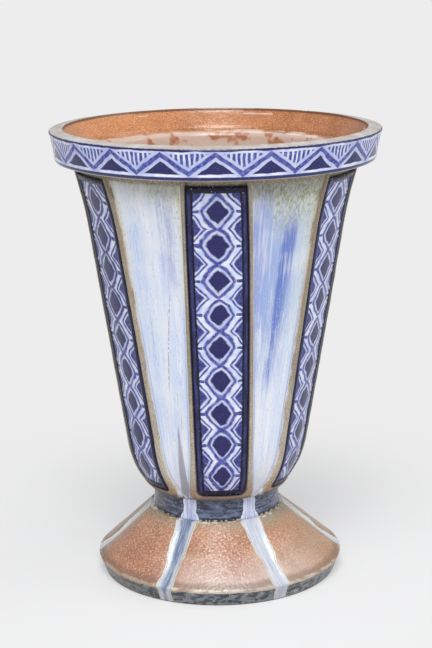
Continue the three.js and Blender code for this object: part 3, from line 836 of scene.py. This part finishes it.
def makeCone(lining):
    cone = coneShape
    relief, cove = cone["relief"], cone["cove"]
    seat = crownRadius(rimSeat) - relief - cone["shoulder"]
    ledgeTop = rimSeat + cone["ledgeHeight"]
    ledgeInner = seat - cone["ledgeWidth"]
    floorTop = neckTop + cone["floor"]
    outside = []
    z = neckTop
    while z < rimSeat:
        outside.append((crownRadius(z) - relief, z))
        z += 1.2 if z < neckTop + cone["roundHeight"] else 2.2
    profile = curvedPath([(0, neckTop), (crownRadius(neckTop) - relief - 2, neckTop)], 6)
    profile += outside + [(crownRadius(rimSeat) - relief, rimSeat)]
    profile += [(seat, rimSeat), (seat, ledgeTop - 3)]
    profile += arc(seat - 3, ledgeTop - 3, 3, 0, 90)[1:]
    profile += arc(ledgeInner + 5, ledgeTop - 5, 5, 90, 170, 8)[1:]
    skin = relief + cone["wall"]
    insideHigh = rimSeat - cone["flareHeight"]
    insideLow = floorTop + cove + cone["roundHeight"]
    insideFloor = crownRadius(floorTop + cove) - skin
    profile += curvedPath([
        (ledgeInner, ledgeTop - 7), (crownRadius(insideHigh) - skin, insideHigh),
        (crownRadius(insideLow) - skin, insideLow), (insideFloor, floorTop + cove),
        (insideFloor - 0.3 * cove, floorTop + 0.3 * cove), (insideFloor - cove, floorTop),
        (0, floorTop)], 5)
    piece = spunPiece("cone_glazed", profile, 360)

    def flutes(x, y, z):
        radius = hypot(x, y)
        onSide = neckTop + 0.1 <= z <= rimSeat - 0.1
        if not onSide or radius < crownRadius(z) - relief - 0.5:
            return x, y, z
        turn = atan2(x, -y) - twist(z)
        local = turn - sixth * floor(turn / sixth + 0.5)
        bed = bedHalf(z) / crownRadius(z)
        across = clamp((abs(local) - bed) / (sixth / 2 - bed))
        top = easeIn(rimSeat - z, 2, 14)
        hollow = cone["fluteHollow"] * (1 - (1 - across) ** 2) * top
        share = (radius - hollow + cone["ripple"] * ripple(x, y, z / 5, 9) * top) / radius
        return x * share, y * share, z

    shape(piece, flutes)

    def inside(radius, z):
        within = crownRadius(min(z, rimSeat)) - relief - 5
        return z > rimSeat + 0.1 or (radius < within and z > floorTop - 1)

    lineInside(piece, inside)
    print("cone: flutes, ledge and floor")
    finishPiece(piece, ["cone_wall"], "running_glaze", fluteLook(), lining)


def makeRim(lining):
    rim = {
        "taper": 3.6, "round": 3.4, "lipWidth": 10.6, "lipFall": 1.2, "lipRound": 1.1,
        "ripple": 0.2, "droop": 0.35, "droopFrom": 14, "droopFull": 22,
    }
    low = rimRadius - rim["taper"]
    lipInner = rimRadius - rim["lipWidth"]
    outerTop = lipTop - rim["lipFall"]
    bore = crownRadius(rimSeat) - coneShape["relief"] - coneShape["shoulder"] + 0.1
    r = rim["lipRound"]
    profile = curvedPath([(bore, rimSeat), (low - rim["round"], rimSeat)], 3)
    profile += arc(low - rim["round"], rimSeat + rim["round"], rim["round"], -90, -10, 8)[1:]
    side = [(low, rimSeat + rim["round"] + 1), (low + 0.3 * rim["taper"], blend(rimSeat, lipTop, 0.45))]
    side += [(low + 0.72 * rim["taper"], blend(rimSeat, lipTop, 0.75)), (rimRadius, outerTop - r)]
    profile += curvedPath(side, 1)
    profile += arc(rimRadius - r, outerTop - r, r, 0, 84, 5)[1:]
    profile += curvedPath([(rimRadius - 2 * r, outerTop + 0.1), (lipInner + 2 * r, lipTop)], 1.2)
    profile += arc(lipInner + r, lipTop - r, r, 90, 180, 5)[1:]
    within = [(lipInner - 0.1, lipTop - 2), (bore + 0.6, lipTop - 14), (bore, rimSeat + 6), profile[0]]
    profile += curvedPath(within, 2)
    piece = spunPiece("rim_glazed", profile, 360)

    def thrown(x, y, z):
        radius = hypot(x, y)
        share = 1 - rim["ripple"] * (1 + ripple(x, y, z, 30)) / radius
        near = clamp((z - rimSeat - rim["droopFrom"]) / (rim["droopFull"] - rim["droopFrom"]))
        droop = rim["droop"] * (0.5 + 0.5 * ripple(x, y, 0, 40)) * near
        return x * share, y * share, z - droop

    shape(piece, thrown)
    lineInside(piece, lambda radius, z: radius < lipInner + 0.4 and z > rimSeat + 1)
    print("rim: banded ring and lip")
    finishPiece(piece, ["rim_band"], "painted_glaze", rimLook(), lining)


def makePanels(look):
    slab = {
        "columns": 44, "rows": 150, "crowd": 1.35, "ends": 0.36, "sunk": 1.9, "bead": 1.25, "thick": 1.2,
    }
    inner = panelShape["border"] + 0.8
    corner = panelShape["corner"]

    def depth(edge):
        # how far the surface lies under the ridges' crowns: a rounded border, then the sunk field
        if edge > inner:
            return slab["sunk"]
        return slab["sunk"] - slab["bead"] * sqrt(sin(pi * clamp(edge / panelShape["border"])))

    for number in range(6):
        piece = gridPiece(f"panel_{number + 1}_glazed", slab["columns"], slab["rows"])
        middle = sixth * number

        def overCone(u, v, _):
            # the columns crowd towards the sides and the rows towards the ends
            side = 1 if u > 0 else -1
            across = side * (1 - max(0, 1 - abs(2 * u * mm)) ** slab["crowd"])
            rise = v * mm + 0.5
            rise -= slab["ends"] * sin(2 * pi * rise) / (2 * pi)
            z = blend(panelBottom, panelTop, clamp(rise))
            half = panelSquareHalf(z) - cornerInset(corner, z - panelBottom)
            x = across * half
            sideways = abs(x) - panelSquareHalf(z) + corner
            down = panelBottom + corner - z
            outside = hypot(max(sideways, 0), max(down, 0))
            edge = min(corner - outside - min(max(sideways, down), 0), panelTop - z)
            radius = crownRadius(z) - depth(edge) + 0.15 * ripple(x, z, number * 9, 12)
            angle = middle + twist(z) + x / crownRadius(z)
            return radius * sin(angle), -radius * cos(angle), z

        shape(piece, overCone)
        thicken(piece, slab["thick"])
        finishPiece(piece, [f"panel_{number + 1}"], "panel_glaze", look)
    print("panels: six, with border and field")


def ridgePath():
    # the two edges of a ridge, down the right side and to the middle of the bottom
    corner = panelShape["corner"]
    bottom = neckTop + panelShape["ridgeFoot"]
    cornerTop = panelBottom + corner
    cornerX = panelSquareHalf(cornerTop) - corner
    low = bedHalf(bottom) - panelShape["ridgeCorner"]
    steps = {"side": 70, "corner": 12, "bottom": 10}
    path = []
    for i in range(steps["side"]):
        z = blend(rimSeat - 0.2, cornerTop, i / steps["side"])
        path.append((panelSquareHalf(z), z, bedHalf(z), z))
    for i in range(steps["corner"] + 1):
        turn = pi / 2 * i / steps["corner"]
        z = blend(cornerTop, bottom, sin(turn))
        outer = bedHalf(z) - cornerInset(panelShape["ridgeCorner"], z - bottom)
        path.append((cornerX + corner * cos(turn), cornerTop - corner * sin(turn), outer, z))
    for i in range(1, steps["bottom"] + 1):
        t = 1 - i / steps["bottom"]
        path.append((cornerX * t, panelBottom, low * t, bottom))
    return path


def makeRidges(look):
    # the section, from the panel's edge to the flute: share of the width, fall below the crown
    section = [
        (-0.04, 2.3), (0.0, 1.7), (0.07, 0.85), (0.16, 0.35), (0.28, 0.08), (0.45, 0.0),
        (0.62, 0.05), (0.76, 0.3), (0.86, 0.8), (0.94, 1.6), (1.0, 2.5), (1.06, 3.5),
    ]
    roll = {"ripple": 0.22, "thick": 0.8, "sink": 0.1}
    half = ridgePath()
    path = half + [(-a, b, -c, d) for a, b, c, d in reversed(half[:-1])]
    rows = len(path) - 1
    columns = len(section) - 1
    for number in range(6):
        piece = gridPiece(f"ridge_{number + 1}_glazed", columns, rows)
        middle = sixth * number

        def overCone(u, v, _):
            share, fall = section[round((u * mm + 0.5) * columns)]
            x0, z0, x1, z1 = path[round((v * mm + 0.5) * rows)]
            x, z = blend(x0, x1, share), blend(z0, z1, share)
            z = max(z, neckTop + 0.1)
            if fall < 2:
                fall += roll["ripple"] * ripple(x, z, number * 13, 7)
            radius = crownRadius(z) - max(fall, -roll["sink"]) - roll["sink"]
            angle = middle + twist(z) + x / crownRadius(z)
            return radius * sin(angle), -radius * cos(angle), z

        shape(piece, overCone)
        pick(piece)
        bpy.ops.object.mode_set(mode="EDIT")
        bpy.ops.mesh.select_all(action="SELECT")
        bpy.ops.mesh.flip_normals()
        bpy.ops.object.mode_set(mode="OBJECT")
        thicken(piece, roll["thick"])
        finishPiece(piece, [f"ridge_{number + 1}"], "bare_clay", look)
    print("ridges: six, round the panels")


# Stage, lights and camera

def makeStage():
    stage = {
        "size": 12.0, "floor": "dedede", "card": (0.845, 0.845, 0.845, 1),
        "fill": (0.38, 0.39, 0.41, 1), "fadeFrom": 120, "fadeTo": 420,
    }
    startClean()
    bpy.ops.mesh.primitive_plane_add(size=stage["size"], location=(0, 0, 0))
    ground = bpy.context.object
    ground.name = "floor"
    look = Look("floor_card")
    away = (look.x * look.x + look.y * look.y) ** 0.5
    fade = 0.5 + away.rises(stage["fadeFrom"], stage["fadeTo"]) * 0.5
    paper = look.add("ShaderNodeBsdfDiffuse", {}, {"Color": linear(stage["floor"])})
    glow = look.add("ShaderNodeEmission", {}, {"Color": stage["card"], "Strength": 1.0})
    both = look.add("ShaderNodeMixShader", {}, {0: fade, 1: paper, 2: glow})
    look.links.new(both.socket, look.nodes["Material Output"].inputs["Surface"])
    ground.data.materials.append(look.material)

    world = bpy.data.worlds.new("studio")
    bpy.context.scene.world = world
    world.use_nodes = True
    nodes, links = world.node_tree.nodes, world.node_tree.links
    back = nodes["Background"]
    back.inputs["Color"].default_value = stage["fill"]
    card = nodes.new("ShaderNodeBackground")
    card.inputs["Color"].default_value = stage["card"]
    rays = nodes.new("ShaderNodeLightPath")
    mixer = nodes.new("ShaderNodeMixShader")
    links.new(rays.outputs["Is Camera Ray"], mixer.inputs[0])
    links.new(back.outputs[0], mixer.inputs[1])
    links.new(card.outputs[0], mixer.inputs[2])
    links.new(mixer.outputs[0], nodes["World Output"].inputs["Surface"])


lamps = {
    "key": {"place": (-0.1, -1.8, 1.9), "aim": (0, 0, 0.2), "size": (1.3, 0.8), "power": 43},
    "top": {"place": (-0.05, -0.9, 2.15), "aim": (0, 0, 0.1), "size": (0.8, 0.45), "power": 18},
    "side": {"place": (2.1, -0.1, 0.9), "aim": (0, 0, 0.2), "size": (1.4, 1.6), "power": 14},
}


def softBox(name, place, aim, size, power):
    startClean()
    bpy.ops.object.light_add(type="AREA", location=place)
    lamp = bpy.context.object
    lamp.name = name
    lamp.data.shape = "RECTANGLE"
    lamp.data.size, lamp.data.size_y = size
    lamp.data.energy = power
    lamp.rotation_euler = (Vector(aim) - Vector(place)).to_track_quat("-Z", "Y").to_euler()


def makeCamera():
    shot = {"away": 1244.3, "height": 492.3, "down": 13.66, "roll": -0.62, "aside": 0.047, "lens": 94.4}
    startClean()
    bpy.ops.object.camera_add(location=(0, -shot["away"] * mm, shot["height"] * mm))
    camera = bpy.context.object
    camera.data.lens = shot["lens"]
    camera.data.sensor_width = 36
    aside = Matrix.Rotation(radians(shot["aside"]), 3, "Z")
    tilt = Matrix.Rotation(radians(90 - shot["down"]), 3, "X")
    roll = Matrix.Rotation(radians(shot["roll"]), 3, "Z")
    camera.rotation_euler = (aside @ tilt @ roll).to_euler()
    camera.data.clip_start, camera.data.clip_end = 0.05, 50
    bpy.context.scene.camera = camera


brownInside = insideLook()
makeFoot()
makeNeck()
makeCone(brownInside)
makeRim(brownInside)
makePanels(panelLook())
makeRidges(ridgeLook())
makeStage()
for lampName, lamp in lamps.items():
    softBox(lampName, **lamp)
makeCamera()
print("stage, lights and camera")
bpy.context.scene.view_settings.view_transform = "Standard"
